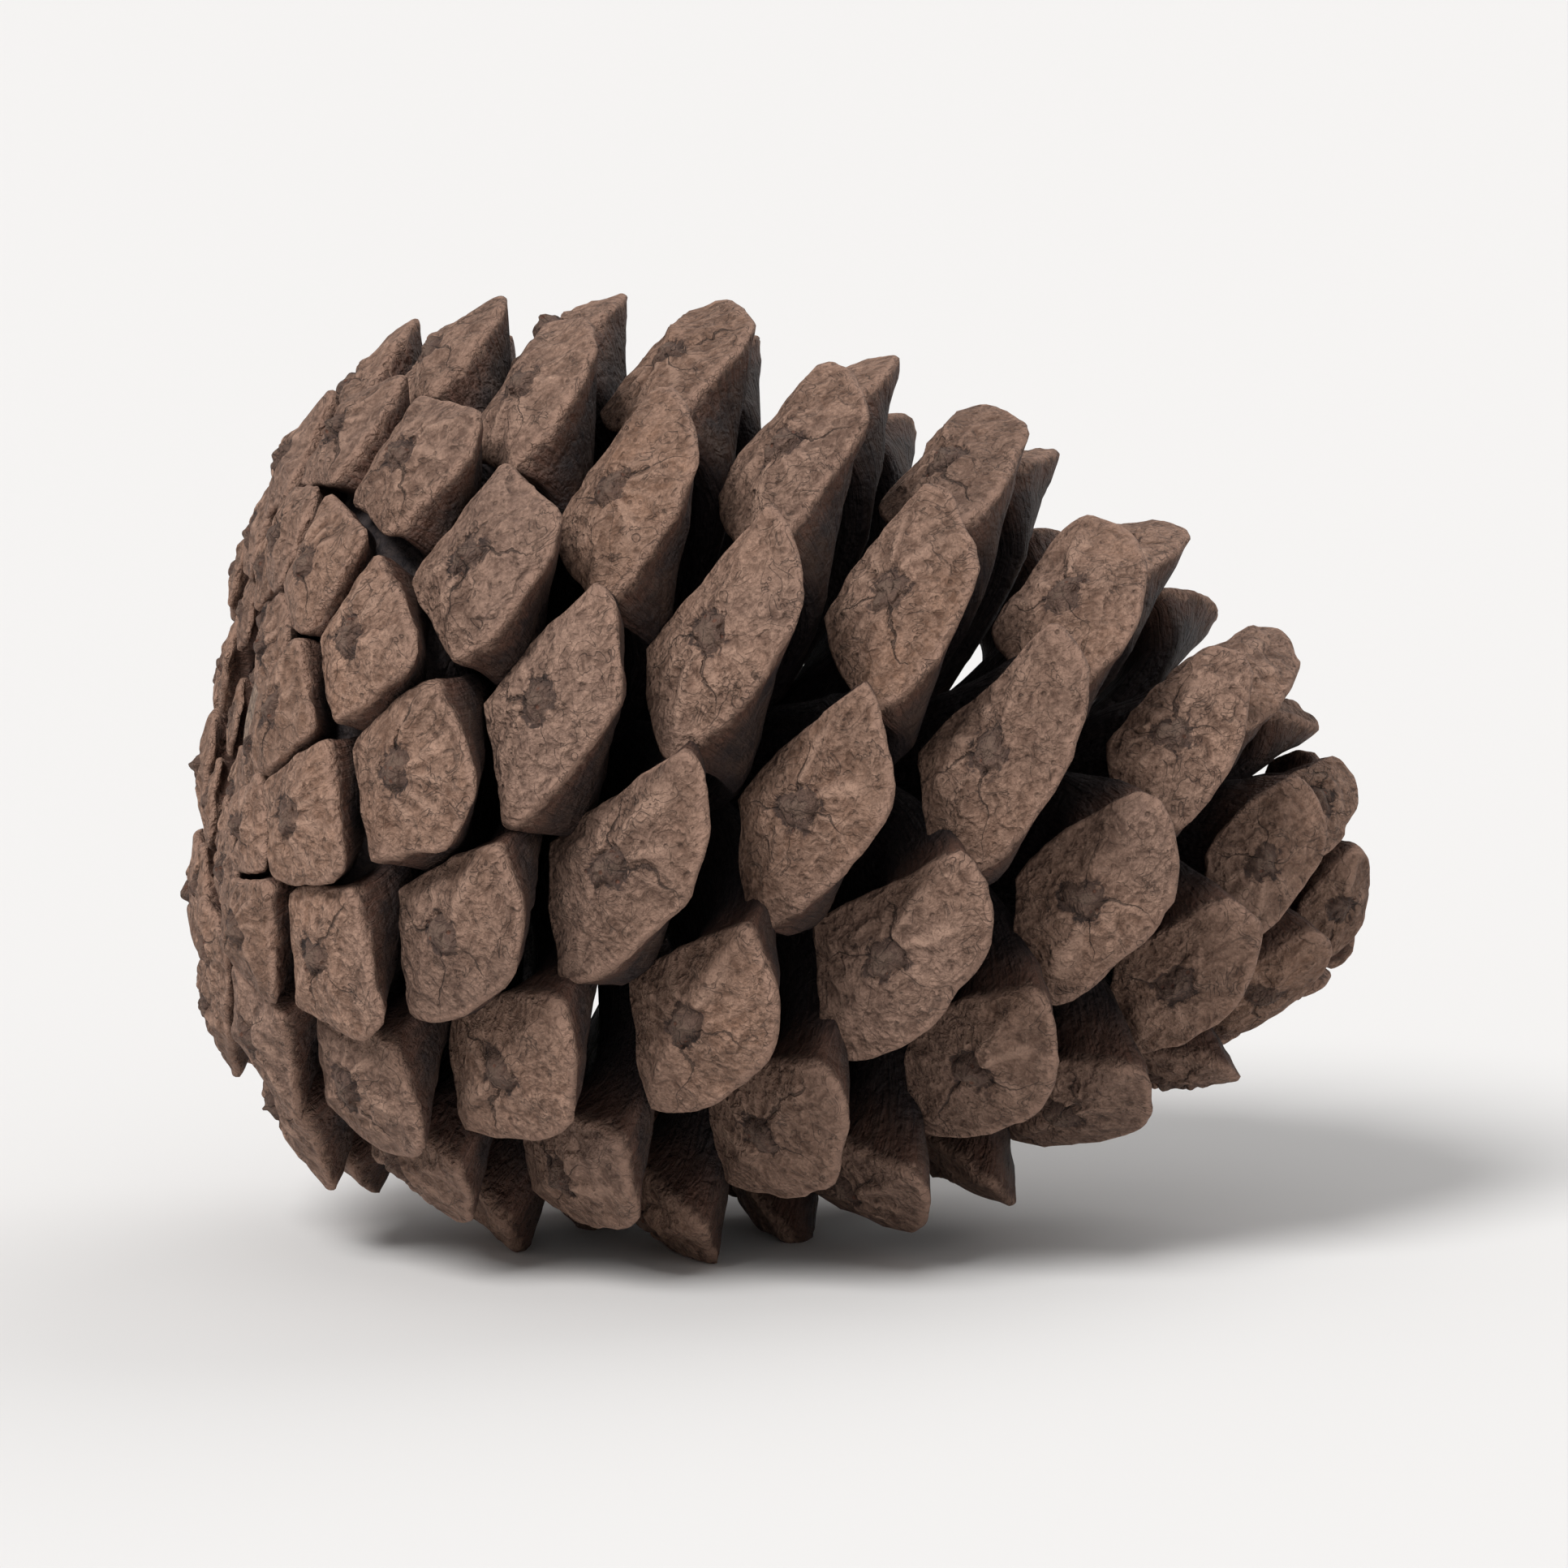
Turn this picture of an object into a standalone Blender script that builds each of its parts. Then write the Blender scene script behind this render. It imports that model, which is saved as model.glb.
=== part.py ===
"""An open pine cone as it is picked up from under the tree, lying on its side.

The cone is one grown piece: woody scales set on an axis at the golden angle. Those next to
the stalk stayed shut and form a dome of tight facets, the ones further up stand open like
louvres, and the last few close over the tip. Blender 4.5 script, in metres, +Z up. The
cone is modelled with its axis on X, stalk end at the origin, and is then laid down.
"""

import math

import bmesh
import bpy
import numpy as np
from mathutils import Matrix

MM = 0.001

# The spiral in which the scales stand
SCALE_COUNT = 121
GOLDEN_ANGLE = math.radians(137.508)
# No two scales grow alike: how far each may stray in place, reach, tilt and size
SEED = 11
STRAY_AZIMUTH = math.radians(1.2)
STRAY_REACH = 0.012
STRAY_TURN = math.radians(3)
STRAY_SIZE = 0.05

# Stations along the run of scales, from the first at the stalk (0) to the last at the tip (1)
STATION = np.array([0.0, 0.085, 0.215, 0.345, 0.495, 0.65, 0.785, 0.895, 1.0])
# The middle of a scale's outer face: distance from the axis and place along it, in mm
FACE_RADIUS = np.array([5.0, 9.4, 16.8, 22.8, 26.0, 25.4, 21.2, 14.0, 4.5])
FACE_ALONG = np.array([2.0, 0.7, 1.8, 7.4, 18.0, 33.0, 47.5, 60.0, 70.5])
# How far the outer face turns back towards the stalk, in degrees from facing straight out
FACE_TURN = np.array([-84, -84, -68, -56, -47, -41, -31, -10, 35])
# Width round the axis, height, and how far its ridge stands out, in mm
FACE_WIDTH = np.array([4.6, 6.0, 9.2, 12.4, 14.9, 15.0, 13.8, 11.2, 7.4])
FACE_HEIGHT = np.array([4.4, 5.8, 8.2, 9.6, 10.3, 10.2, 9.2, 7.4, 5.2])
FACE_RISE = np.array([0.3, 0.4, 0.7, 0.9, 1.0, 1.0, 0.9, 0.8, 0.6])
# Where the scale leaves the axis, in mm from the stalk end
ROOT_ALONG = np.array([4.5, 5.5, 8.5, 12.5, 20.0, 30.5, 41.0, 50.5, 59.0])

# The blade of a scale, between the axis and the outer face: sunk into the axis by its root,
# bent towards the tip, dished along its middle, and thickening by a power of its length
ROOT_DEPTH = 2.2 * MM
ROOT_WIDTH = 5.2 * MM
BLADE_THICK = 2.1 * MM
BLADE_BEND = math.radians(14)
BLADE_DISH = 0.9 * MM
FLARE = 4
# Cuts across a scale, as shares of its length. The shut ones start inside the block of them
OPEN_CUTS = (0.0, 0.8, 1.0)
SHUT_CUTS = (0.74, 1.0)
FIRST_OPEN = 0.31

# The outer face is a slanted rhombus: a sharp corner on either side, a blunt one towards the
# stalk and a round edge towards the tip. Its corners stand at these angles, and above 1 the
# power pinches the round edge
FACE_CORNERS = np.radians([0, 50, 90, 130, 180, 270])
FACE_PINCH = 1.2
SLANT = math.tan(math.radians(15))
# The umbo, the small boss in the middle of the face, as shares of the face's width
UMBO_SHARE = 0.30
UMBO_RISE = 0.036
KEEL_DROP = 0.16

# The axis that carries the scales, with the block of shut scales round its lower end
CORE_PROFILE = (
    (1.0, 0.0),
    (1.0, 2.6),
    (2.8, 3.2),
    (3.2, 9.6),
    (4.4, 15.8),
    (7.6, 19.0),
    (11.5, 17.5),
    (15.0, 11.0),
    (20.0, 5.8),
    (40.0, 4.8),
    (58.0, 3.2),
    (68.0, 1.8),
    (70.0, 0.0),
)
CORE_SIDES = 20
AXIS_STOUTNESS = (5.4, 3.0)

# How the cone lies: turned about its own axis, then tip down, and set on its lowest scales
ROLL = math.radians(25.5)
PITCH = math.radians(9.75)
AXIS_HEIGHT = 33.3 * MM
STALK_END_X = -34.51 * MM
AXIS_SIDE_Y = 0.32 * MM


def at_share(values, share):
    """A smooth curve through the values at the stations, read at one share of the run."""
    slopes = np.gradient(values, STATION)
    i = int(np.clip(np.searchsorted(STATION, share) - 1, 0, len(STATION) - 2))
    span = STATION[i + 1] - STATION[i]
    t = (share - STATION[i]) / span
    rise = values[i + 1] - values[i]
    a = slopes[i] * span - rise
    b = rise - slopes[i + 1] * span
    return values[i] + t * rise + t * (1 - t) * (a * (1 - t) + b * t)


def bezier(points, t):
    """A Bezier curve of any order, by halving the list of points down to one."""
    points = [np.asarray(p, float) for p in points]
    while len(points) > 1:
        points = [p * (1 - t) + q * t for p, q in zip(points, points[1:])]
    return points[0]


def pinched(value, power):
    """The value with its size raised to a power: above 1 it pinches a circle to a rhombus."""
    return np.sign(value) * np.abs(value) ** power


def scale_loops(share, azimuth, stray):
    """The rings of points of one scale, root to umbo, and the points that close both ends.

    In the plane through the axis, x is along the axis and r away from it. The upper edge of
    each cut follows one curve to the face's tip edge, the lower edge another to its base
    edge, and the width is laid off round the axis.
    """
    azimuth = azimuth + stray[0] * STRAY_AZIMUTH
    radius = at_share(FACE_RADIUS, share) * MM * (1 + stray[1] * STRAY_REACH)
    along = at_share(FACE_ALONG, share) * MM
    turn = math.radians(at_share(FACE_TURN, share)) + stray[2] * STRAY_TURN
    size = 1 + stray[3] * STRAY_SIZE
    half_width = at_share(FACE_WIDTH, share) * MM / 2 * size
    half_height = at_share(FACE_HEIGHT, share) * MM / 2 * size
    rise = at_share(FACE_RISE, share) * MM
    root_x = at_share(ROOT_ALONG, share) * MM
    stout = np.interp(share, (0, 1), AXIS_STOUTNESS) * MM

    outward = np.array([math.cos(turn), math.sin(turn)])
    tipward = np.array([-math.sin(turn), math.cos(turn)])
    middle = np.array([radius, along])
    tip_edge = middle + tipward * half_height
    root = np.array([max(stout - ROOT_DEPTH, 0.4 * MM), root_x])

    reach = tip_edge - root
    lean = math.atan2(reach[1], reach[0])
    bend = lean + BLADE_BEND
    elbow = root + 0.5 * np.linalg.norm(reach) * np.array([math.cos(bend), math.sin(bend)])
    across = np.array([-math.sin(lean), math.cos(lean)])
    upper = (root, elbow, tip_edge)
    below = BLADE_THICK * across

    cos, sin = np.cos(FACE_CORNERS), np.sin(FACE_CORNERS)
    loops = []
    for cut in SHUT_CUTS if share < FIRST_OPEN else OPEN_CUTS:
        top = bezier(upper, cut)
        bottom = top - below * (1 - cut**FLARE) - 2 * half_height * tipward * cut**FLARE
        width = ROOT_WIDTH / 2 + (half_width - ROOT_WIDTH / 2) * math.sin(cut * math.pi / 2)
        sideways = pinched(cos, FACE_PINCH) * width
        updown = pinched(sin, FACE_PINCH)[:, None] * (top - bottom) / 2
        dished = (cos**2)[:, None] * BLADE_DISH * cut * across
        slanted = (sideways * -SLANT * cut**2)[:, None] * tipward
        loops.append((sideways, (top + bottom) / 2 + updown + dished + slanted))

    edge_sideways, edge_plane = loops[-1]
    ridge = rise * (1 - KEEL_DROP * np.abs(sin))
    umbo_plane = middle + (edge_plane - middle) * UMBO_SHARE + ridge[:, None] * outward
    loops.append((edge_sideways * UMBO_SHARE, umbo_plane))
    apex = middle + outward * (rise + 2 * half_width * UMBO_RISE)

    def placed(sideways, plane):
        """Points of the plane through the axis turned to the scale's own side of it."""
        r, x = plane[..., 0], plane[..., 1]
        y = r * math.cos(azimuth) - sideways * math.sin(azimuth)
        z = r * math.sin(azimuth) + sideways * math.cos(azimuth)
        return np.stack([x, y, z], axis=-1)

    rings = [placed(sideways, plane) for sideways, plane in loops]
    root_middle = placed(np.array(0.0), root - below / 2)
    return rings, root_middle, placed(np.array(0.0), apex)


def skin(name, rings, first, last):
    """A closed mesh object over rings of equal length, closed by a point at each end."""
    sides = len(rings[0])
    points = np.vstack([first[None], *rings, last[None]])
    end = len(points) - 1
    faces = []
    for i in range(sides):
        j = (i + 1) % sides
        faces.append((0, 1 + j, 1 + i))
        for row in range(len(rings) - 1):
            low, high = 1 + row * sides, 1 + (row + 1) * sides
            faces.append((low + i, low + j, high + j, high + i))
        faces.append((end, end - sides + i, end - sides + j))
    mesh = bpy.data.meshes.new(name)
    mesh.from_pydata(points.tolist(), [], faces)
    shape = bmesh.new()
    shape.from_mesh(mesh)
    bmesh.ops.triangulate(shape, faces=shape.faces)
    bmesh.ops.recalc_face_normals(shape, faces=shape.faces)
    shape.to_mesh(mesh)
    shape.free()
    return bpy.data.objects.new(name, mesh)


def turned_core(name):
    """The axis and the block of shut scales, turned about X."""
    angles = np.arange(CORE_SIDES) * 2 * math.pi / CORE_SIDES
    rings = [
        np.stack([np.full(CORE_SIDES, x), r * np.cos(angles), r * np.sin(angles)], axis=-1) * MM
        for x, r in CORE_PROFILE[1:-1]
    ]
    first = np.array([CORE_PROFILE[0][0], 0, 0]) * MM
    last = np.array([CORE_PROFILE[-1][0], 0, 0]) * MM
    return skin(name, rings, first, last)


def fused(core, scales, name):
    """The core and every scale joined into one closed body by one Boolean union."""
    folder = bpy.data.collections.new("scales")
    bpy.context.scene.collection.children.link(folder)
    bpy.context.scene.collection.objects.link(core)
    for scale in scales:
        folder.objects.link(scale)
    union = core.modifiers.new("join", "BOOLEAN")
    union.operation = "UNION"
    union.operand_type = "COLLECTION"
    union.collection = folder
    union.solver = "MANIFOLD"
    graph = bpy.context.evaluated_depsgraph_get()
    mesh = bpy.data.meshes.new_from_object(core.evaluated_get(graph))
    for obj in [core, *scales]:
        bpy.data.objects.remove(obj)
    bpy.data.collections.remove(folder)
    mesh.name = name
    joined = bpy.data.objects.new(name, mesh)
    bpy.context.scene.collection.objects.link(joined)
    return joined


def islands(shape):
    """The connected groups of faces of a bmesh."""
    left = set(shape.faces)
    while left:
        group, edge = set(), [left.pop()]
        while edge:
            face = edge.pop()
            group.add(face)
            near = {f for e in face.edges for f in e.link_faces} & left
            left -= near
            edge.extend(near)
        yield group


def fill_hollows(obj):
    """Drops the walls of gaps that fusing has sealed, which leaves the outer skin alone."""
    shape = bmesh.new()
    shape.from_mesh(obj.data)
    groups = sorted(islands(shape), key=len, reverse=True)
    for group in groups[1:]:
        bmesh.ops.delete(shape, geom=list(group), context="FACES")
    loose = [v for v in shape.verts if not v.link_faces]
    bmesh.ops.delete(shape, geom=loose, context="VERTS")
    shape.to_mesh(obj.data)
    shape.free()


def lay_down(obj):
    """Turns the cone onto its side and wears the scales that it lies on flat, at height 0."""
    turn = Matrix.Rotation(PITCH, 4, "Y") @ Matrix.Rotation(ROLL, 4, "X")
    place = Matrix.Translation((STALK_END_X, AXIS_SIDE_Y, AXIS_HEIGHT))
    obj.data.transform(place @ turn)
    shape = bmesh.new()
    shape.from_mesh(obj.data)
    everything = [*shape.verts, *shape.edges, *shape.faces]
    bmesh.ops.bisect_plane(
        shape, geom=everything, plane_co=(0, 0, 0), plane_no=(0, 0, 1), clear_inner=True
    )
    rims = [e for e in shape.edges if e.is_boundary]
    bmesh.ops.holes_fill(shape, edges=rims, sides=0)
    bmesh.ops.triangulate(shape, faces=shape.faces)
    shape.to_mesh(obj.data)
    shape.free()


def weathered_wood():
    """The grey-brown of the scales' outer faces."""
    material = bpy.data.materials.new("weathered_scale")
    material.use_nodes = True
    shader = material.node_tree.nodes["Principled BSDF"]
    shader.inputs["Base Color"].default_value = (0.235, 0.135, 0.085, 1)
    shader.inputs["Roughness"].default_value = 0.82
    shader.inputs["Metallic"].default_value = 0.0
    return material


def main():
    for obj in list(bpy.data.objects):
        bpy.data.objects.remove(obj)
    scales = []
    strays = np.random.default_rng(SEED).uniform(-1, 1, (SCALE_COUNT, 4))
    for n in range(SCALE_COUNT):
        share = n / (SCALE_COUNT - 1)
        rings, first, last = scale_loops(share, n * GOLDEN_ANGLE, strays[n])
        scales.append(skin(f"scale_{n}", rings, first, last))
    cone = fused(turned_core("core"), scales, "pine_cone")
    fill_hollows(cone)
    lay_down(cone)
    cone.data.materials.clear()
    cone.data.materials.append(weathered_wood())
    cone.data.shade_smooth()
    cone.data.set_sharp_from_angle(angle=math.radians(35))


main()
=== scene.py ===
"""The look of an open pine cone that lies on its side on a pale floor."""

import math

import bpy
import numpy as np
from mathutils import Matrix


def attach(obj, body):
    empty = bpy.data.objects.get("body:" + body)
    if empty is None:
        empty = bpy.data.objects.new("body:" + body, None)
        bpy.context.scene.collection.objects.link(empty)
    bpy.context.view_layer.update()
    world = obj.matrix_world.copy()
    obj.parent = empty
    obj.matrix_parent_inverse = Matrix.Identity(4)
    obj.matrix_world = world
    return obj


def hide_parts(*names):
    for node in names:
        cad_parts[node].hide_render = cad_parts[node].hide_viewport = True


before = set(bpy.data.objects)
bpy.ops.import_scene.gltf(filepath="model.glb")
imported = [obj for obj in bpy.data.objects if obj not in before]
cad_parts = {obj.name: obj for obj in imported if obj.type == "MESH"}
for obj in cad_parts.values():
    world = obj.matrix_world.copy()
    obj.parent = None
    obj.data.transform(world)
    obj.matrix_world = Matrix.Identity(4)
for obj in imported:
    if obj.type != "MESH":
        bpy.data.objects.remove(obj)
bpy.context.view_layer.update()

# How the scales stand on the cone
# A pine cone sets its woody scales on one spiral, each a golden angle on from the last.
# They grow larger up to the shoulder and smaller again to the tip, and each one ends in a
# broad outer face whose place, tilt and size run smoothly along the spiral.

MM = 0.001
SCALE_COUNT = 121
GOLDEN_ANGLE = math.radians(137.508)
SEED = 11
STRAY_AZIMUTH = math.radians(1.2)
STRAY_REACH = 0.012
STRAY_TURN = math.radians(3)
STRAY_SIZE = 0.05

# At each station of the run: places and sizes in millimetres, turns in degrees
STATION = np.array([0.0, 0.085, 0.215, 0.345, 0.495, 0.65, 0.785, 0.895, 1.0])
FACE_RADIUS = np.array([5.0, 9.4, 16.8, 22.8, 26.0, 25.4, 21.2, 14.0, 4.5])
FACE_ALONG = np.array([2.0, 0.7, 1.8, 7.4, 18.0, 33.0, 47.5, 60.0, 70.5])
FACE_TURN = np.array([-84, -84, -68, -56, -47, -41, -31, -10, 35])
FACE_WIDTH = np.array([4.6, 6.0, 9.2, 12.4, 14.9, 15.0, 13.8, 11.2, 7.4])
FACE_HEIGHT = np.array([4.4, 5.8, 8.2, 9.6, 10.3, 10.2, 9.2, 7.4, 5.2])
FACE_RISE = np.array([0.3, 0.4, 0.7, 0.9, 1.0, 1.0, 0.9, 0.8, 0.6])
ROOT_ALONG = np.array([4.5, 5.5, 8.5, 12.5, 20.0, 30.5, 41.0, 50.5, 59.0])
AXIS_STOUTNESS = (5.4, 3.0)
ROOT_DEPTH = 2.2 * MM
ROOT_FROM_CENTRE = 0.4 * MM

ROLL = math.radians(25.5)
PITCH = math.radians(9.75)
STALK_END = np.array([-34.51, 0.32, 33.3]) * MM


def along_run(values, share):
    """A smooth curve through the values at the stations, read at shares of the run.

    Between two stations it is a cubic that leaves and meets them at the slope of the line
    through the stations on either side.
    """
    slopes = np.gradient(values, STATION)
    i = np.clip(np.searchsorted(STATION, share) - 1, 0, len(STATION) - 2)
    span = STATION[i + 1] - STATION[i]
    t = (share - STATION[i]) / span
    rise = values[i + 1] - values[i]
    a = slopes[i] * span - rise
    b = rise - slopes[i + 1] * span
    return values[i] + t * rise + t * (1 - t) * (a * (1 - t) + b * t)


def smooth_step(value, low, high):
    """0 below low, 1 above high, and 3t^2 - 2t^3 of the way t between them."""
    t = np.clip((value - low) / (high - low), 0, 1)
    return t * t * (3 - 2 * t)


def laid_down(points):
    """Points of the upright cone turned about its axis, dipped by the tip, set on the floor.

    Height below the floor is taken to 0, which wears flat the scales that it lies on.
    """
    x, y, z = points[..., 0], points[..., 1], points[..., 2]
    y, z = y * math.cos(ROLL) - z * math.sin(ROLL), y * math.sin(ROLL) + z * math.cos(ROLL)
    x, z = x * math.cos(PITCH) + z * math.sin(PITCH), z * math.cos(PITCH) - x * math.sin(PITCH)
    laid = np.stack([x, y, z], axis=-1) + STALK_END
    laid[..., 2] = np.maximum(laid[..., 2], 0)
    return laid


number = np.arange(SCALE_COUNT)
share = number / (SCALE_COUNT - 1)
stray = np.random.default_rng(SEED).uniform(-1, 1, (SCALE_COUNT, 4))
azimuth = number * GOLDEN_ANGLE + stray[:, 0] * STRAY_AZIMUTH
radius = along_run(FACE_RADIUS, share) * MM * (1 + stray[:, 1] * STRAY_REACH)
along = along_run(FACE_ALONG, share) * MM
turn = np.radians(along_run(FACE_TURN, share)) + stray[:, 2] * STRAY_TURN
size = 1 + stray[:, 3] * STRAY_SIZE
half_width = along_run(FACE_WIDTH, share) * MM / 2 * size
half_height = along_run(FACE_HEIGHT, share) * MM / 2 * size
face_rise = along_run(FACE_RISE, share) * MM
stout = np.interp(share, (0, 1), AXIS_STOUTNESS) * MM

# In the plane through the axis, the first number is the distance from it, the second along it
outward = np.stack([np.cos(turn), np.sin(turn)], axis=-1)
tipward = np.stack([-np.sin(turn), np.cos(turn)], axis=-1)
middle = np.stack([radius, along], axis=-1)
tip_edge = middle + tipward * half_height[:, None]
root_radius = np.maximum(stout - ROOT_DEPTH, ROOT_FROM_CENTRE)
root = np.stack([root_radius, along_run(ROOT_ALONG, share) * MM], axis=-1)


def around_axis(plane, sideways, azimuth):
    """Points of the plane through the axis, moved sideways and turned to their azimuth."""
    r, x = plane[..., 0], plane[..., 1]
    y = r * np.cos(azimuth) - sideways * np.sin(azimuth)
    z = r * np.sin(azimuth) + sideways * np.cos(azimuth)
    return np.stack([x, y, z], axis=-1)


# The outline of each outer face
# While the cone was shut its faces grew against each other like cells of a comb, so round
# the stalk each outline is the cell between its neighbours, with a hairline crack left. The
# scales further up are free of each other and show a slanted rhombus with two sharp corners.

LOOK_ROUND = 64
CRACK = 0.26 * MM
CORNER_POWER = 22
SLANT = math.tan(math.radians(15))
SLANT_STRAY = math.tan(math.radians(6))
TIP_SIDE = (1.30, 1.70)
BASE_SIDE = (1.04, 1.26)
ROUNDER_AT_TIP = 0.55
ROUNDER_FROM = 0.55
ROUNDEST_FROM = 0.95
UNEVEN = 0.022
SHUT_UNTIL = 0.27
FREE_FROM = 0.44
SHUT_SPREAD = 1.45
FREE_SPREAD = 1.05
FREE_ROOM = 1.7
CUT_UNTIL = 0.33
UNCUT_FROM = 0.58
NEIGHBOUR_WITHIN = 22 * MM
LEAST_FACING = 0.05
LEAST_REACH = 0.3 * MM
NO_LIMIT = 1

shape = np.random.default_rng(SEED + 3).uniform(0, 1, (SCALE_COUNT, 6))
slant = SLANT + (2 * shape[:, 0] - 1) * SLANT_STRAY


def face_outlines():
    """Each face's outline as offsets sideways and tipward of its middle.

    Directions go round as on an ellipse of the face's width and height. In each direction the
    reach is the soft least of two: the slanted rhombus (|x/w|^p + |y/h|^p)^(-1/p), with its
    power p smaller on the stalk's side and larger towards the tip, and the line between it and
    each neighbour, its distance over the cosine of the angle to it, with more room from the
    shoulder on. Three slow waves make the rhombus a little uneven. The soft least of several
    lengths is the sum of their -nth powers, to the power -1/n.
    """
    angle = np.arange(LOOK_ROUND) * 2 * math.pi / LOOK_ROUND
    across = half_width[:, None] * np.cos(angle)
    up = half_height[:, None] * np.sin(angle) - slant[:, None] * across
    heading = np.arctan2(up, across)
    x, y = np.cos(heading), np.sin(heading)
    square = y + slant[:, None] * x
    rounder = ROUNDER_AT_TIP * smooth_step(share, ROUNDER_FROM, ROUNDEST_FROM)[:, None]
    tip_power = TIP_SIDE[0] + (TIP_SIDE[1] - TIP_SIDE[0]) * shape[:, 1, None] + rounder
    base_power = BASE_SIDE[0] + (BASE_SIDE[1] - BASE_SIDE[0]) * shape[:, 2, None] + rounder / 3
    power = np.where(square > 0, tip_power, base_power)
    shut = (1 - smooth_step(share, SHUT_UNTIL, FREE_FROM))[:, None]
    spread = FREE_SPREAD + (SHUT_SPREAD - FREE_SPREAD) * shut
    for k, waves in enumerate((2, 3, 5)):
        phase = 2 * math.pi * shape[:, 3 + k, None]
        spread = spread * (1 + UNEVEN * np.sin(waves * angle + phase))
    wide, high = half_width[:, None] * spread, half_height[:, None] * spread
    rhombus = (np.abs(x / wide) ** power + np.abs(square / high) ** power) ** (-1 / power)

    centre = around_axis(middle, np.zeros(SCALE_COUNT), azimuth)
    tangent = around_axis(np.zeros((SCALE_COUNT, 2)), np.ones(SCALE_COUNT), azimuth)
    tipward_dir = around_axis(tipward, np.zeros(SCALE_COUNT), azimuth)
    gap = centre[None] - centre[:, None]
    distance = np.linalg.norm(gap, axis=-1)
    sideways = np.einsum("ijk,ik->ij", gap, tangent)
    upward = np.einsum("ijk,ik->ij", gap, tipward_dir)
    bearing = np.arctan2(upward, sideways)
    weight = size[:, None] / (size[:, None] + size[None])
    room = 1 + (FREE_ROOM - 1) * smooth_step(share, CUT_UNTIL, UNCUT_FROM)[:, None]
    halfway = (distance * weight - CRACK / 2) * room
    near = (distance > 0) & (distance < NEIGHBOUR_WITHIN)
    toward = np.cos(heading[:, None, :] - bearing[:, :, None])
    faced = near[:, :, None] & (toward > LEAST_FACING)
    reach = np.where(faced, halfway[:, :, None] / toward, NO_LIMIT)
    reach = np.maximum(reach, LEAST_REACH)
    total = rhombus**-CORNER_POWER + np.sum(reach**-CORNER_POWER, axis=1)
    least = total ** (-1 / CORNER_POWER)
    return np.stack([least * x, least * y], axis=-1)


outline = face_outlines()

NOISE_TABLE = 4096
NOISE_PRIMES = (73856093, 19349663, 83492791)


def value_noise(points, cell, seed):
    """Smooth noise from -1 to 1: random values at the corners of a grid of cubes.

    They are blended by 3t^2 - 2t^3 along each side of the cube that a point lies in.
    """
    table = np.random.default_rng(seed).uniform(-1, 1, NOISE_TABLE)
    place = points / cell
    low = np.floor(place).astype(np.int64)
    t = place - low
    t = t * t * (3 - 2 * t)
    total = 0
    for corner in range(8):
        step = np.array([corner & 1, corner >> 1 & 1, corner >> 2 & 1])
        at = low + step
        a, b, c = (at[..., k] * NOISE_PRIMES[k] for k in range(3))
        weight = np.prod(np.where(step == 1, t, 1 - t), axis=-1)
        total = total + table[(a ^ b ^ c) % NOISE_TABLE] * weight
    return total


# The form of a scale
# A thin woody blade grows out of the axis and thickens into a head, which ends in the outer
# face: a low pyramid with a keel and, in its middle, the umbo, a small rough boss with a
# prickle in a groove.

BLADE_THICK = 2.1 * MM
BLADE_BEND = math.radians(14)
BLADE_DISH = 0.9 * MM
ROOT_WIDTH = 6.4 * MM
WIDENING_POWER = 0.62
OVAL_SIDE_POWER = 0.9
OVAL_UP_POWER = 0.75
FLARE = 4
HEAD_FROM = 0.60

# On the outer face: the pyramid and dome as shares of its own rise, the rounded edge as a
# share of its radius, the keel's breadth as a share of its half height
PYRAMID = 1.15
DOME = 0.30
EDGE_DEPTH = 0.055
KEEL_BREADTH = 0.12
RIDGES = 9

# On the outer face, in millimetres
EDGE_ROUND = 0.30
KEEL_RISE = 0.30
FOLD_SPACING = 1.2
FOLD_RISE = 0.10
RIDGE_RISE = 0.20
CRACK_DEPTH = 0.24
CRACK_BREADTH = 0.18
UMBO_RADIUS = 1.22
UMBO_RISE = 0.18
GROOVE_DEPTH = 0.26
GROOVE_BREADTH = 0.20
PRICKLE_RISE = 0.42
PRICKLE_BREADTH = 0.34

USUAL_HALF_WIDTH = 7.2 * MM
FACE_ROWS = np.array(
    [0.990, 0.972, 0.950, 0.925, 0.89, 0.845, 0.79, 0.73, 0.67, 0.61, 0.55, 0.49, 0.435]
    + [0.385, 0.34, 0.30, 0.265, 0.23, 0.20, 0.17, 0.14, 0.11, 0.08, 0.05, 0.02]
)


def quadratic(start, elbow, end, t):
    """The curve (1-t)^2 start + 2t(1-t) elbow + t^2 end."""
    return start * (1 - t) ** 2 + elbow * 2 * t * (1 - t) + end * t**2


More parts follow.
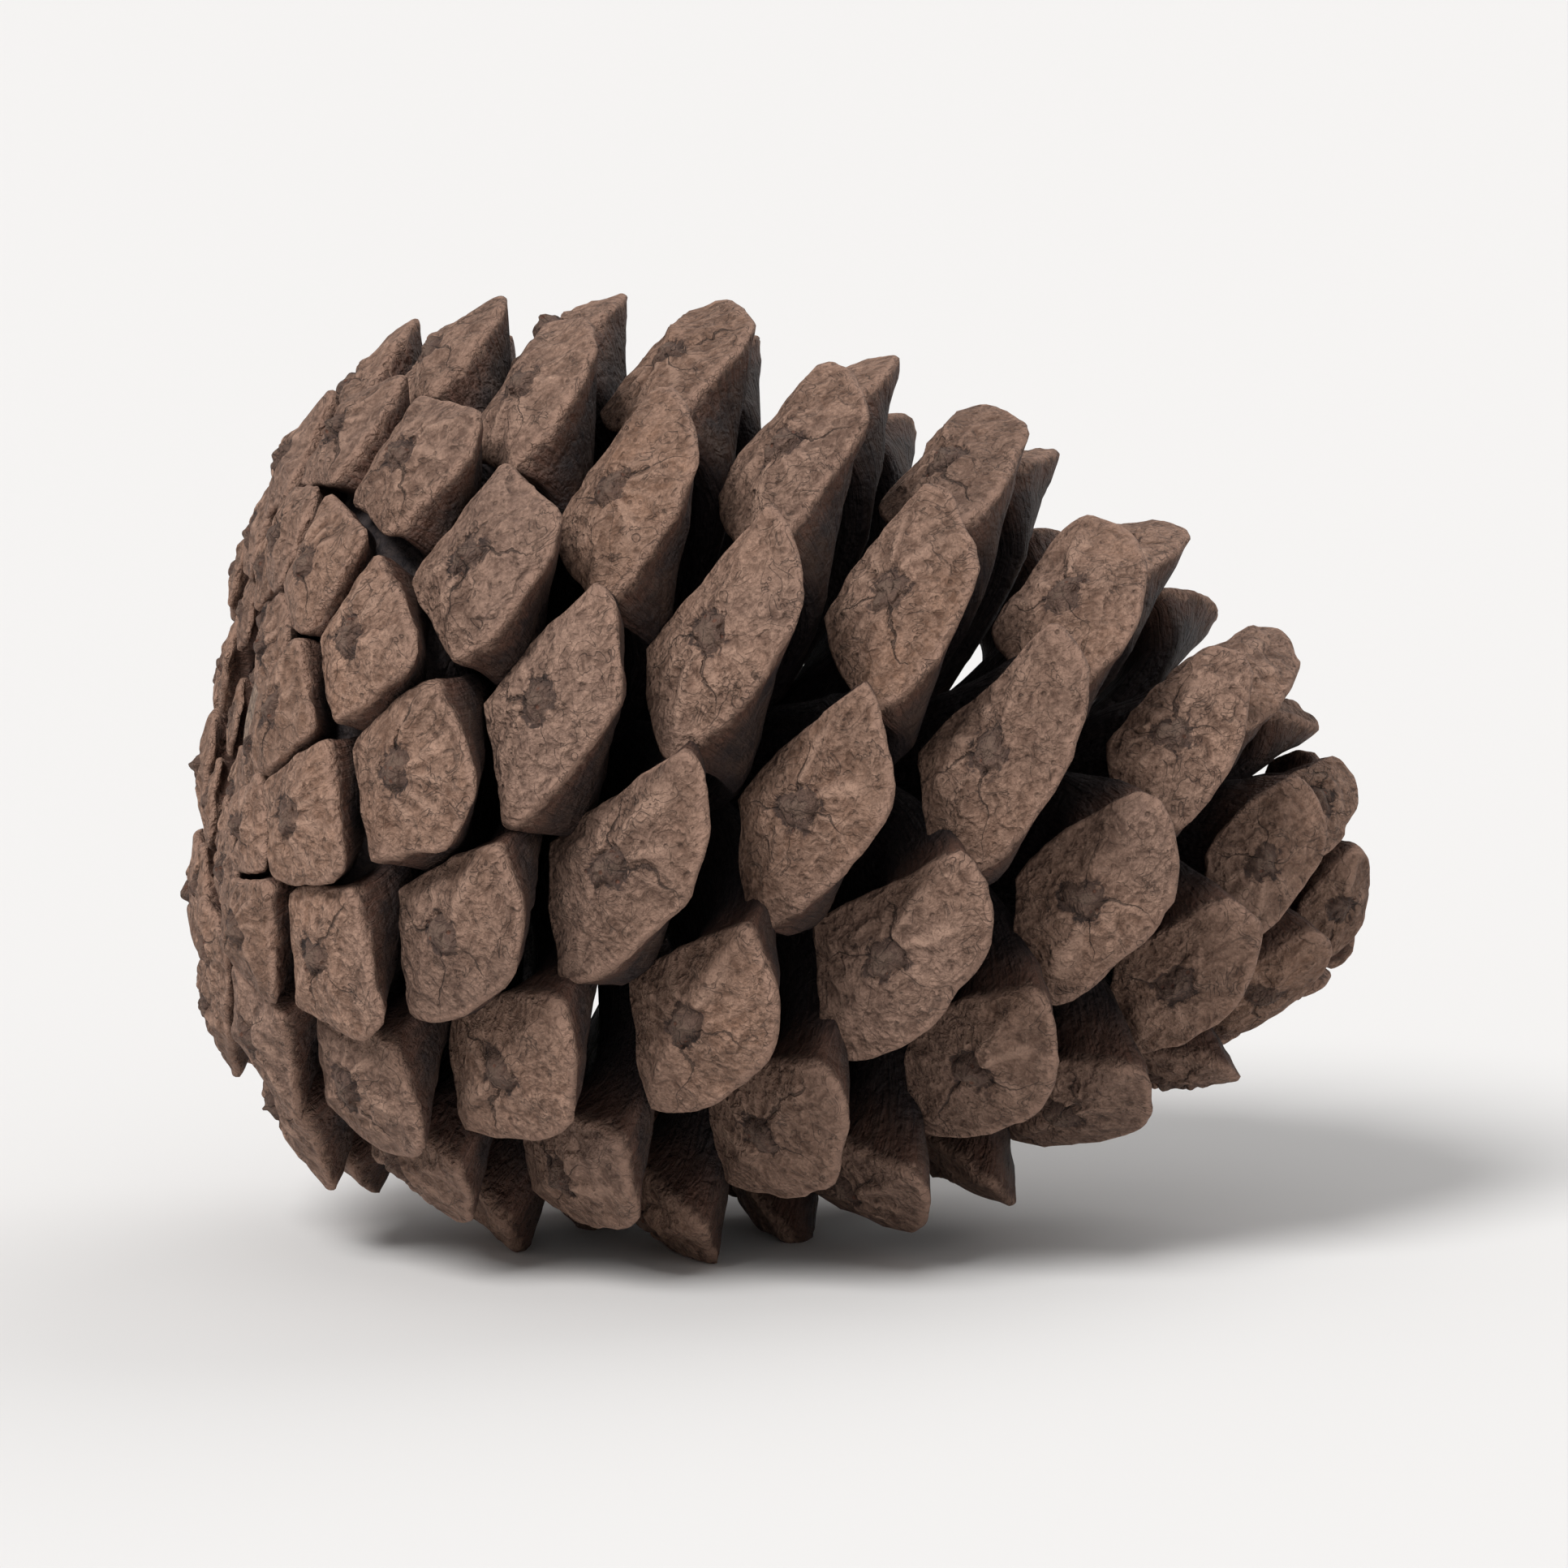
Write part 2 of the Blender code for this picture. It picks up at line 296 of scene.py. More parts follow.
def blade_rows(which, cuts):
    """The rings of a scale from its root to the rim of its outer face.

    The upper edge of each cut lies on a curve from the axis to the face's tip edge. The depth
    below it grows as a power of the cut from the blade's thickness to the face's height, and
    the ring changes from a flat oval into the face's outline over the last two fifths.
    """
    angle = np.arange(LOOK_ROUND) * 2 * math.pi / LOOK_ROUND
    reach = tip_edge[which] - root[which]
    lean = np.arctan2(reach[:, 1], reach[:, 0])
    bend = lean + BLADE_BEND
    span = 0.5 * np.linalg.norm(reach, axis=1)
    elbow = root[which] + span[:, None] * np.stack([np.cos(bend), np.sin(bend)], axis=-1)
    across = np.stack([-np.sin(lean), np.cos(lean)], axis=-1)[:, None, None]
    cut = cuts[None, :, None]
    width = half_width[which][:, None, None]
    height = half_height[which][:, None, None]
    up = tipward[which][:, None, None]

    top = quadratic(
        root[which][:, None, None], elbow[:, None, None], tip_edge[which][:, None, None],
        cuts[None, :, None, None],
    )
    flare = cuts[None, :, None, None] ** FLARE
    bottom = top - BLADE_THICK * across * (1 - flare) - 2 * height[..., None] * up * flare
    widening = np.sin(cut * math.pi / 2) ** WIDENING_POWER
    broad = ROOT_WIDTH / 2 + (width - ROOT_WIDTH / 2) * widening
    oval_side = np.sign(np.cos(angle)) * np.abs(np.cos(angle)) ** OVAL_SIDE_POWER
    oval_up = np.sign(np.sin(angle)) * np.abs(np.sin(angle)) ** OVAL_UP_POWER
    ring_side = outline[which][:, None, :, 0] / width
    ring_up = outline[which][:, None, :, 1] / height
    morph = smooth_step(cut, HEAD_FROM, 1.0)
    side = oval_side * (1 - morph) + ring_side * morph
    raised = oval_up * (1 - morph) + ring_up * morph
    sideways = side * broad
    plane = (top + bottom) / 2 + raised[..., None] * (top - bottom) / 2
    plane = plane + (np.cos(angle) ** 2 * BLADE_DISH * cut * (1 - morph))[..., None] * across
    return plane, sideways


def face_rows(which):
    """The rings of the outer face, rim to umbo, raised from its plane, and three measures.

    The height is a rounded rim, a low pyramid whose edges run to the outline's corners, a keel
    between the two sharp corners, faint folds round the middle, nine uneven ridges that run out
    from it, four crooked cracks, and the umbo: a rough uneven patch in a groove, with a
    prickle. The measures are how far a point is past the umbo's edge, how far it is beside
    the nearest crack, taken larger where that crack is faint, and how high it is on a ridge.
    """
    ring = FACE_ROWS[None, :, None]
    flat = outline[which][:, None] * ring[..., None]
    side, up = flat[..., 0] / MM, flat[..., 1] / MM
    distance = np.hypot(side, up)
    bend = np.arctan2(up, side)
    bulk = half_width[which][:, None, None] / USUAL_HALF_WIDTH
    tall = half_height[which][:, None, None] / MM
    draw = np.random.default_rng(SEED + 1).uniform(0, 1, (SCALE_COUNT, 14))
    draw = draw[which].T[:, :, None, None]
    phase = draw * 2 * math.pi

    patch = UMBO_RADIUS + 0.18 * np.sin(2 * bend + phase[0]) + 0.12 * np.sin(3 * bend + phase[1])
    umbo = distance - (patch + 0.09 * np.sin(5 * bend + phase[2])) * np.sqrt(bulk)
    spoke = 2 * bend + 0.45 * np.sin(bend + phase[3]) + 0.15 * np.sin(3 * bend + phase[4])
    spoke = spoke + 0.28 * np.sin(5 * ring + phase[5]) + 0.12 * np.sin(14 * ring + phase[13])
    crack = distance * np.sin(spoke) / 2
    force = 0.28 + 0.6 * np.sin(bend + phase[6]) + 0.35 * np.sin(2 * bend + phase[7])
    force = np.clip(force, 0, 1) * (1 - smooth_step(ring, 0.20 + 0.45 * draw[8], 0.90))
    force = force * smooth_step(umbo, -0.4, 0.2)

    inward = np.clip((1 - ring) / EDGE_DEPTH, 0, 1)
    height = PYRAMID * (1 - ring) + DOME * (1 - ring**2)
    height = height * face_rise[which][:, None, None] / MM
    height = height + EDGE_ROUND * np.sqrt(1 - (1 - inward) ** 2)
    off_keel = (up + slant[which][:, None, None] * side) / tall
    keel = np.exp(-((off_keel / KEEL_BREADTH) ** 2))
    height = height + KEEL_RISE * bulk * keel * smooth_step(umbo, 0, 1.4) * (1 - ring**6)
    fold = np.sin(2 * math.pi * distance / FOLD_SPACING + 1.2 * np.sin(2 * bend + phase[9]))
    fold = fold * smooth_step(umbo, 0, 0.7) * (1 - ring**4)
    height = height + FOLD_RISE * draw[10] ** 2 * fold
    sway = 1.8 * np.sin(2 * bend + phase[5]) + 1.1 * np.sin(4 * ring + phase[2])
    ray = np.sin(RIDGES * bend + sway)
    ridge = (0.5 + 0.5 * ray) ** 2 * (0.6 + 0.4 * np.sin(bend + phase[13]))
    ridge = ridge * smooth_step(umbo, 0.0, 0.5) * (1 - smooth_step(ring, 0.55, 0.97))
    height = height + RIDGE_RISE * ridge * np.sqrt(bulk)
    height = height - CRACK_DEPTH * force * np.exp(-((crack / CRACK_BREADTH) ** 2))
    broken = 0.60 + 0.40 * (0.5 + 0.5 * np.sin(bend + phase[11]))
    groove = broken * np.exp(-((umbo / GROOVE_BREADTH) ** 2)) * np.sqrt(bulk)
    height = height - GROOVE_DEPTH * groove
    height = height + UMBO_RISE * (1 - smooth_step(umbo, -0.5, 0.0)) * bulk
    prickle = draw[12] * bulk * np.exp(-((distance / PRICKLE_BREADTH) ** 2))
    height = height + PRICKLE_RISE * prickle
    plane = middle[which][:, None, None] + flat[..., 1:] * tipward[which][:, None, None]
    plane = plane + height[..., None] * MM * outward[which][:, None, None]
    return plane, flat[..., 0], umbo, crack / (0.10 + force), ridge


def ring_faces(rows, around):
    """Corners of the faces, outward, over rings of points with one point before and one after.

    They are the fours between the rings, and the threes that close the first and last ring.
    """
    i = np.arange(around)
    j = (i + 1) % around
    ring_at = 1 + np.arange(rows - 1)[:, None] * around
    fours = np.stack([ring_at + i, ring_at + j, ring_at + around + j, ring_at + around + i], -1)
    first = np.stack([np.zeros(around, int), 1 + j, 1 + i], -1)
    top = 1 + (rows - 1) * around
    last = np.stack([np.full(around, rows * around + 1), top + i, top + j], -1)
    return fours.reshape(-1, 4), np.concatenate([first, last])


def smooth_piece(name, points, faces):
    """An object in the scene, with a smooth-shaded mesh of the points and faces."""
    mesh = bpy.data.meshes.new(name)
    mesh.from_pydata(points, [], faces)
    mesh.shade_smooth()
    piece = bpy.data.objects.new(name, mesh)
    bpy.context.scene.collection.objects.link(piece)
    return piece


# Size in mm, cell in mm and seed of each noise that the points stray by
SLOW_STRAY = ((0.17, 2.4, 20), (0.130, 1.05, 30))
FINE_STRAY = (0.045, 0.45, 40)
FINE_STRAY_ON_UMBO = 0.10

# What the measures say at the points that close a scale, and far from umbo and cracks
ZONE_AT_ROOT = 4.0
UMBO_AT_MIDDLE = -1.0
FAR = 9.0


def scale_piece(name, which, cuts):
    """One mesh for many scales: rings from root to umbo, a point at each end, closed.

    Every point then strays by smooth noise of three sizes, which makes edges uneven, and the
    finest of them is stronger on the umbo. Some numbers go with each point for the material:
    how far it is from the umbo (0), past the rim (1) and down the blade in tens of mm, which
    side of the blade it is on, the three measures of the face, and the scale's own tone.
    """
    blade, blade_side = blade_rows(which, cuts)
    face, face_side, umbo, crack, ridge = face_rows(which)
    plane = np.concatenate([blade, face], axis=1)
    sideways = np.concatenate([blade_side, face_side], axis=1)
    rings = around_axis(plane, sideways, azimuth[which][:, None, None])
    count, rows, around = rings.shape[:3]
    first = rings[:, :1].mean(axis=2)
    last = rings[:, -1:].mean(axis=2)
    points = np.concatenate([first, rings.reshape(count, rows * around, 3), last], axis=1)
    bare = np.full((count, len(cuts), around), FAR)
    angle = np.arange(around) * 2 * math.pi / around
    length = np.linalg.norm(np.diff(rings, axis=1), axis=-1)[:, : len(cuts)]
    down = np.cumsum(length[:, ::-1], axis=1)[:, ::-1] / (10 * MM)
    face_zone = np.broadcast_to(FACE_ROWS[None, :, None], (count, len(FACE_ROWS), around))
    measures = {
        "zone": (np.concatenate([1 + down - down[:, -1:], face_zone], axis=1), ZONE_AT_ROOT, 0.0),
        "upper": (np.broadcast_to(np.sin(angle), (count, rows, around)), 0.0, 0.0),
        "breadth": (sideways / half_width[which][:, None, None], 0.0, 0.0),
        "umbo": (np.concatenate([bare, umbo], axis=1), FAR, UMBO_AT_MIDDLE),
        "crack": (np.concatenate([bare, crack], axis=1), FAR, FAR),
        "ridge": (np.concatenate([0 * bare, ridge], axis=1), 0.0, 0.0),
    }
    filled = {}
    for label, (values, at_root, at_umbo) in measures.items():
        root_end = np.full((count, 1), at_root)
        umbo_end = np.full((count, 1), at_umbo)
        values = values.reshape(count, rows * around)
        filled[label] = np.concatenate([root_end, values, umbo_end], axis=1)

    fine, fine_cell, fine_seed = FINE_STRAY
    on_umbo = smooth_step(-filled["umbo"], -0.25, 0.25)[..., None]
    fine = fine + FINE_STRAY_ON_UMBO * on_umbo
    for amount, cell, seed in (*SLOW_STRAY, (fine, fine_cell, fine_seed)):
        noise = [value_noise(points, cell * MM, seed + k) for k in range(3)]
        points = points + amount * MM * np.stack(noise, axis=-1)
    points = laid_down(points)

    fours, threes = ring_faces(rows, around)
    shift = np.arange(count)[:, None, None] * (rows * around + 2)
    fours = (fours[None] + shift).reshape(-1, 4)
    threes = (threes[None] + shift).reshape(-1, 3)
    piece = smooth_piece(name, points.reshape(-1, 3), fours.tolist() + threes.tolist())

    tone = np.random.default_rng(SEED + 2).uniform(0, 1, SCALE_COUNT)[which]
    filled["tone"] = np.repeat(tone, rows * around + 2)
    for label, values in filled.items():
        kept = piece.data.attributes.new(label, "FLOAT", "POINT")
        kept.data.foreach_set("value", values.ravel())
    return piece


# The finish of the scales
# Weathered pine wood, matt and finely wrinkled: tan on the outer face, darker on the umbo,
# with painted highlights along the rims and on the raised bumps, wrinkles and ridges, and
# painted shade in the low spots, cracks, groove and pits; then red-brown just under the rim
# and darker inside, where rain doesn't reach, with painted shade that makes it nearly black
# deep in the gaps between the scales.


def wire(tree, kind, links=(), values=(), **settings):
    """A shader node with its settings, its plain values and what is linked into it."""
    made = tree.nodes.new(kind)
    for key, setting in settings.items():
        setattr(made, key, setting)
    for key, value in values:
        made.inputs[key].default_value = value
    for key, source in links:
        tree.links.new(source, made.inputs[key])
    return made


def ramp(tree, source, low, high):
    """A smooth mask that goes from 0 where source is low to 1 where it is high."""
    made = wire(
        tree,
        "ShaderNodeMapRange",
        links=[("Value", source)],
        values=[("From Min", low), ("From Max", high)],
        interpolation_type="SMOOTHSTEP",
    )
    return made.outputs["Result"]


def between(tree, mask, first, second):
    """A colour that is the first where the mask is 0 and the second where it is 1."""
    made = wire(tree, "ShaderNodeMix", links=[(0, mask)], data_type="RGBA")
    for socket, colour in ((6, first), (7, second)):
        if isinstance(colour, tuple):
            made.inputs[socket].default_value = (*colour, 1)
        else:
            tree.links.new(colour, made.inputs[socket])
    return made.outputs[2]


def combine(tree, operation, first, second):
    """One number made of two by the named sum."""
    made = wire(tree, "ShaderNodeMath", operation=operation)
    for socket, value in ((0, first), (1, second)):
        if isinstance(value, (int, float)):
            made.inputs[socket].default_value = value
        else:
            tree.links.new(value, made.inputs[socket])
    return made.outputs[0]


def magnitude(tree, value):
    """How far the number is from 0."""
    return wire(tree, "ShaderNodeMath", [(0, value)], operation="ABSOLUTE").outputs[0]


# Lumps to the metre, detail and twist of each noise
GRAIN_NOISE = {
    "Weather": (75.0, 1.0, 0.0),
    "Blotch": (330.0, 3.0, 0.0),
    "Wrinkle": (1500.0, 4.0, 0.8),
    "Dust": (4600.0, 2.0, 0.0),
    "Wander": (520.0, 2.0, 1.3),
    "Bumps": (760.0, 1.5, 1.1),
}
GRAIN_ROUGHNESS = 0.62
PITS_TO_THE_METRE = 1300.0

# The values of each noise where its mask is empty and full
GRAIN_MASK = {
    "Weather": (0.35, 0.65),
    "Blotch": (0.30, 0.70),
    "Bumps": (0.36, 0.66),
    "Wrinkle": (0.34, 0.66),
    "Dust": (0.34, 0.66),
}

# How much each part lifts the surface
GRAIN_RELIEF = {"Wrinkle": 0.62, "Bumps": 1.25, "Dust": 0.30, "Speck": -0.22, "Line": -0.16}


def bark_grain():
    """A node group for rough wood: weathering, blotches, bumps, grains, pits and thin lines.

    The lines are where a twisted noise is near its middle value, in patches of a wider one.
    """
    group = bpy.data.node_groups.new("bark_grain", "ShaderNodeTree")
    group.interface.new_socket("Fineness", in_out="INPUT", socket_type="NodeSocketFloat")
    for label in ("Weather", "Blotch", "Bumps", "Wrinkle", "Dust", "Speck", "Line", "Relief"):
        group.interface.new_socket(label, in_out="OUTPUT", socket_type="NodeSocketFloat")
    start = group.nodes.new("NodeGroupInput")
    end = group.nodes.new("NodeGroupOutput")
    place = wire(group, "ShaderNodeTexCoord").outputs["Object"]

    def noise(scale, detail, twist):
        """Noise with so many lumps to the metre at a fineness of 1."""
        fine = combine(group, "MULTIPLY", start.outputs["Fineness"], scale)
        return wire(
            group, "ShaderNodeTexNoise", [("Vector", place), ("Scale", fine)],
            [("Detail", detail), ("Roughness", GRAIN_ROUGHNESS), ("Distortion", twist)],
        ).outputs[0]

    part = {label: noise(*numbers) for label, numbers in GRAIN_NOISE.items()}
    pit_scale = combine(group, "MULTIPLY", start.outputs["Fineness"], PITS_TO_THE_METRE)
    pits = wire(
        group, "ShaderNodeTexVoronoi", [("Vector", place), ("Scale", pit_scale)], feature="F1"
    ).outputs["Distance"]
    part["Speck"] = ramp(group, pits, 0.26, 0.08)
    off_middle = magnitude(group, combine(group, "SUBTRACT", part["Wander"], 0.5))
    thin = ramp(group, off_middle, 0.016, 0.002)
    part["Line"] = combine(group, "MULTIPLY", thin, ramp(group, part["Blotch"], 0.42, 0.58))

    relief = 0.0
    for label, lift in GRAIN_RELIEF.items():
        relief = combine(group, "ADD", relief, combine(group, "MULTIPLY", part[label], lift))
    for label, (empty, full) in GRAIN_MASK.items():
        group.links.new(ramp(group, part[label], empty, full), end.inputs[label])
    group.links.new(part["Speck"], end.inputs["Speck"])
    group.links.new(part["Line"], end.inputs["Line"])
    group.links.new(relief, end.inputs["Relief"])
    return group


def placed_group(tree, group, fineness):
    """The group as a node of a material, with its own fineness."""
    made = tree.nodes.new("ShaderNodeGroup")
    made.node_tree = group
    made.inputs["Fineness"].default_value = fineness
    return made.outputs


FACE_TAN = (0.295, 0.148, 0.084)
FACE_GREY = (0.205, 0.130, 0.104)
FACE_BROWN = (0.085, 0.046, 0.031)
FACE_PALE = (0.500, 0.320, 0.235)
# Painted highlight: the lighter colour along the rim of each outer face
RIM_HIGHLIGHT = (0.345, 0.212, 0.155)
UMBO_DARK = (0.070, 0.042, 0.034)
UMBO_GREY = (0.165, 0.108, 0.080)
UMBO_RED = (0.190, 0.070, 0.042)
# Painted shade: the near-black colour put in the face's cracks, the umbo's groove and thin sunken
# lines
CREASE_SHADE = (0.028, 0.019, 0.017)
UNDER_RIM = (0.128, 0.062, 0.042)
# Darker inner wood with painted shade: nearly black, for deep in the gaps between the scales
INSIDE_SHADED = (0.044, 0.030, 0.028)
INSIDE_SHADED_DARK = (0.022, 0.016, 0.018)
SEED_BED = (0.078, 0.046, 0.034)
FIBRE_STRETCH = (9.0, 5.0, 0.8)
FACE_ROUGHNESS = 0.84
BLADE_SMOOTHER_BY = 0.16
SHEEN = 0.30
BUMP_HEIGHT = 0.65 * MM

bark = bark_grain()


def scale_finish():
    """The scales' material, from the numbers that go with each point of their mesh."""
    material = bpy.data.materials.new("weathered_scale_wood")
    material.use_nodes = True
    tree = material.node_tree
    shader = tree.nodes["Principled BSDF"]
    zone, upper, breadth, tone, umbo, crack, ridge = (
        wire(tree, "ShaderNodeAttribute", attribute_name=label).outputs["Fac"]
        for label in ("zone", "upper", "breadth", "tone", "umbo", "crack", "ridge")
    )
    grain = placed_group(tree, bark, 1.0)
    ragged = combine(tree, "SUBTRACT", grain["Wrinkle"], 0.5)

    def wandering(value, amount):
        """The value moved back and forth by the wrinkles, so what it bounds is ragged."""
        return combine(tree, "ADD", value, combine(tree, "MULTIPLY", ragged, amount))

    own_weather = combine(tree, "FRACT", combine(tree, "MULTIPLY", tone, 5.3), 0.0)
    weathered = combine(tree, "ADD", grain["Weather"], own_weather)
    # Painted shade: darker in the low spots between the bumps that the grain raises
    shaded_low_spot = combine(tree, "SUBTRACT", 1.0, grain["Bumps"])
    past = wandering(zone, 0.05)
    patch = ramp(tree, wandering(umbo, 1.0), 0.40, -0.30)
    boss = ramp(tree, wandering(umbo, 1.0), -0.45, -0.85)
    # Painted shade along the umbo's groove
    groove = combine(
        tree, "MULTIPLY", ramp(tree, magnitude(tree, wandering(umbo, 0.5)), 0.26, 0.05),
        combine(tree, "MAXIMUM", grain["Blotch"], 0.55),
    )
    # The face's cracks: painted shade in them, and a dent in the bump
    line = ramp(tree, magnitude(tree, wandering(crack, 0.22)), 0.13, 0.02)
    tints = (
        (weathered, 0.5, FACE_GREY),
        (grain["Blotch"], 0.55, FACE_BROWN),
        # Painted shade between the bumps, and painted highlights on the raised bumps and wrinkle
        # crests
        (shaded_low_spot, 0.50, FACE_BROWN),
        (grain["Bumps"], 0.38, FACE_PALE),
        (grain["Wrinkle"], 0.42, FACE_PALE),
        (grain["Dust"], 0.42, FACE_BROWN),
        (tone, 0.34, FACE_BROWN),
        # Painted highlight along the raised ridges of the face
        (ramp(tree, ridge, 0.25, 0.85), 0.40, FACE_PALE),
        # Painted highlight along the rim of each outer face
        (ramp(tree, past, 0.88, 0.98), 0.62, RIM_HIGHLIGHT),
        (patch, 0.74, UMBO_DARK),
        (boss, 0.70, UMBO_GREY),
        (combine(tree, "MULTIPLY", grain["Speck"], patch), 0.8, UMBO_RED),
        # Painted shade in the umbo's groove, the face's cracks and the thin sunken lines
        (groove, 0.80, CREASE_SHADE),
        (line, 0.55, CREASE_SHADE),
        (grain["Line"], 0.50, CREASE_SHADE),
        # Painted shade in the sunken pits
        (grain["Speck"], 0.40, FACE_BROWN),
    )
    face = FACE_TAN
    for mask, amount, colour in tints:
        face = between(tree, combine(tree, "MULTIPLY", mask, amount), face, colour)

    place = wire(tree, "ShaderNodeCombineXYZ", [("X", breadth), ("Y", upper), ("Z", zone)])
    stretch = wire(
        tree, "ShaderNodeMapping", [("Vector", place.outputs[0])], [("Scale", FIBRE_STRETCH)]
    )
    fibre = wire(
        tree, "ShaderNodeTexNoise", [("Vector", stretch.outputs[0])],
        [("Scale", 2.4), ("Detail", 3.0), ("Roughness", 0.65)],
    ).outputs[0]
    streak = ramp(tree, fibre, 0.36, 0.64)
    under = between(tree, combine(tree, "MULTIPLY", streak, 0.6), UNDER_RIM, SEED_BED)
    # Down the blade the colour goes from red-brown under the rim to nearly black: darker inner
    # wood with painted shade over it, deepest in the gaps
    deep_shade = between(tree, streak, INSIDE_SHADED, INSIDE_SHADED_DARK)
    blade = between(tree, ramp(tree, past, 1.05, 1.48), under, deep_shade)
    bed = between(tree, grain["Blotch"], SEED_BED, deep_shade)
    above = between(tree, ramp(tree, past, 1.05, 1.22), under, bed)
    blade = between(tree, ramp(tree, upper, 0.05, 0.40), blade, above)
    on_blade = ramp(tree, past, 1.00, 1.07)
    tree.links.new(between(tree, on_blade, face, blade), shader.inputs["Base Color"])

    smoother = combine(tree, "MULTIPLY", on_blade, BLADE_SMOOTHER_BY)
    rough = combine(tree, "SUBTRACT", FACE_ROUGHNESS, smoother)
    tree.links.new(rough, shader.inputs["Roughness"])
    shader.inputs["Specular IOR Level"].default_value = SHEEN
    dent = combine(tree, "SUBTRACT", grain["Relief"], combine(tree, "MULTIPLY", line, 0.5))
    dent = combine(tree, "ADD", dent, combine(tree, "MULTIPLY", fibre, on_blade))
    bump = wire(
        tree, "ShaderNodeBump", [("Height", dent)], [("Strength", 1.0), ("Distance", BUMP_HEIGHT)]
    )
    tree.links.new(bump.outputs["Normal"], shader.inputs["Normal"])
    return material


scale_wood = scale_finish()

# The shut scales round the stalk
# Thick woody scales that never opened, pressed together into a dome. Only their outer faces
# and the first millimetres of their sides show, so each starts inside the block of them.

SHUT_CUTS = np.array([0.66, 0.74, 0.81, 0.86, 0.90, 0.93, 0.955, 0.975, 0.99, 1.0])
OPEN_FROM = 0.31
first_open = int(np.searchsorted(share, OPEN_FROM))

shut_scales = scale_piece("shut_scales", number[:first_open], SHUT_CUTS)
shut_scales.data.materials.append(scale_wood)
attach(shut_scales, "root")
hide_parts("pine_cone")

# The open scales
# Woody blades about 2 mm thick that grow out of the axis and end in a thick, broad head.
# They stand open like louvres, in three groups here only to keep each mesh of a handy size.

OPEN_CUTS = np.concatenate(
    [np.linspace(0, 0.72, 8), [0.78, 0.83, 0.87, 0.905, 0.935, 0.96, 0.978, 0.99, 1.0]]
)

for label, group in zip(("lower", "middle", "upper"), np.array_split(number[first_open:], 3)):
    open_scales = scale_piece(f"open_scales_{label}", group, OPEN_CUTS)
    open_scales.data.materials.append(scale_wood)
    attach(open_scales, "root")
    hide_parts("pine_cone")

# The axis
# The woody stem inside the cone that every scale grows out of, dark and rough, with the
# block of shut scales round its lower end. It ends at the tip in a small blunt knob, which
# the rain and light reach and which is tan like the outer faces.

AXIS_BROWN = (0.060, 0.042, 0.038)
AXIS_DARK = (0.028, 0.021, 0.023)
KNOB_TAN = (0.300, 0.180, 0.118)
KNOB_DARK = (0.120, 0.068, 0.046)
LIFT_CELL = 1.7 * MM
LIFT_SEED = 41

AXIS_PROFILE = np.array(
    [
        (3.1, 0.0), (3.1, 3.0), (3.3, 9.6), (4.5, 15.8), (6.0, 18.0), (7.8, 19.0), (9.8, 18.8),
        (11.8, 17.3), (13.6, 14.2), (15.4, 10.6), (17.6, 7.4), (20.0, 5.8), (30.0, 5.3),
        (40.0, 4.8), (50.0, 4.0), (58.0, 3.2), (64.0, 2.2), (67.2, 1.8), (67.4, 0.0),
    ]
)
KNOB_PROFILE = np.array(
    [(66.6, 0.0), (66.8, 1.5), (67.6, 1.9), (68.6, 1.8), (69.5, 1.35), (70.0, 0.7), (70.1, 0.0)]
)


def turned(name, profile, rows, around, roughness):
    """A closed surface turned about the cone's axis, from pairs of place and radius in mm.

    The profile is read at even steps of its own length, and every ring is lifted by noise.
    """
    length = np.concatenate([[0], np.cumsum(np.linalg.norm(np.diff(profile, axis=0), axis=1))])
    at = np.linspace(0, length[-1], rows)
    x = np.interp(at, length, profile[:, 0]) * MM
    r = np.interp(at, length, profile[:, 1]) * MM
    angle = np.arange(around) * 2 * math.pi / around
    x_grid = np.broadcast_to(x[:, None], (rows, around))
    y_grid, z_grid = r[:, None] * np.cos(angle), r[:, None] * np.sin(angle)
    grid = np.stack([x_grid, y_grid, z_grid], axis=-1)[1:-1]
    lift = value_noise(grid, LIFT_CELL, LIFT_SEED) * roughness
    grid[..., 1] += lift * np.cos(angle)
    grid[..., 2] += lift * np.sin(angle)
    ends = np.array([[x[0], 0, 0], [x[-1], 0, 0]])
    points = laid_down(np.concatenate([ends[:1], grid.reshape(-1, 3), ends[1:]]))
    fours, threes = ring_faces(rows - 2, around)
    return smooth_piece(name, points, fours.tolist() + threes.tolist())


def bark_finish(name, light, dark, fineness, roughness, distance):
    """A rough matt wood of two browns, blotched by the bark grain and darker in its sunken pits,
    which is painted shade.
    """
    material = bpy.data.materials.new(name)
    material.use_nodes = True
    tree = material.node_tree
    shader = tree.nodes["Principled BSDF"]
    grain = placed_group(tree, bark, fineness)
    colour = between(tree, grain["Wrinkle"], light, dark)
    # Painted shade in the sunken pits
    colour = between(tree, combine(tree, "MULTIPLY", grain["Speck"], 0.5), colour, dark)
    tree.links.new(colour, shader.inputs["Base Color"])
    shader.inputs["Roughness"].default_value = roughness
    bump = wire(
        tree, "ShaderNodeBump", [("Height", grain["Relief"])],
        [("Strength", 1.0), ("Distance", distance)],
    )
    tree.links.new(bump.outputs["Normal"], shader.inputs["Normal"])
    return material


axis = turned("axis", AXIS_PROFILE, rows=110, around=72, roughness=0.25 * MM)
axis_wood = bark_finish(
    "axis_wood", AXIS_BROWN, AXIS_DARK, fineness=0.9, roughness=0.8, distance=0.5 * MM
)
axis.data.materials.append(axis_wood)
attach(axis, "root")
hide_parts("pine_cone")

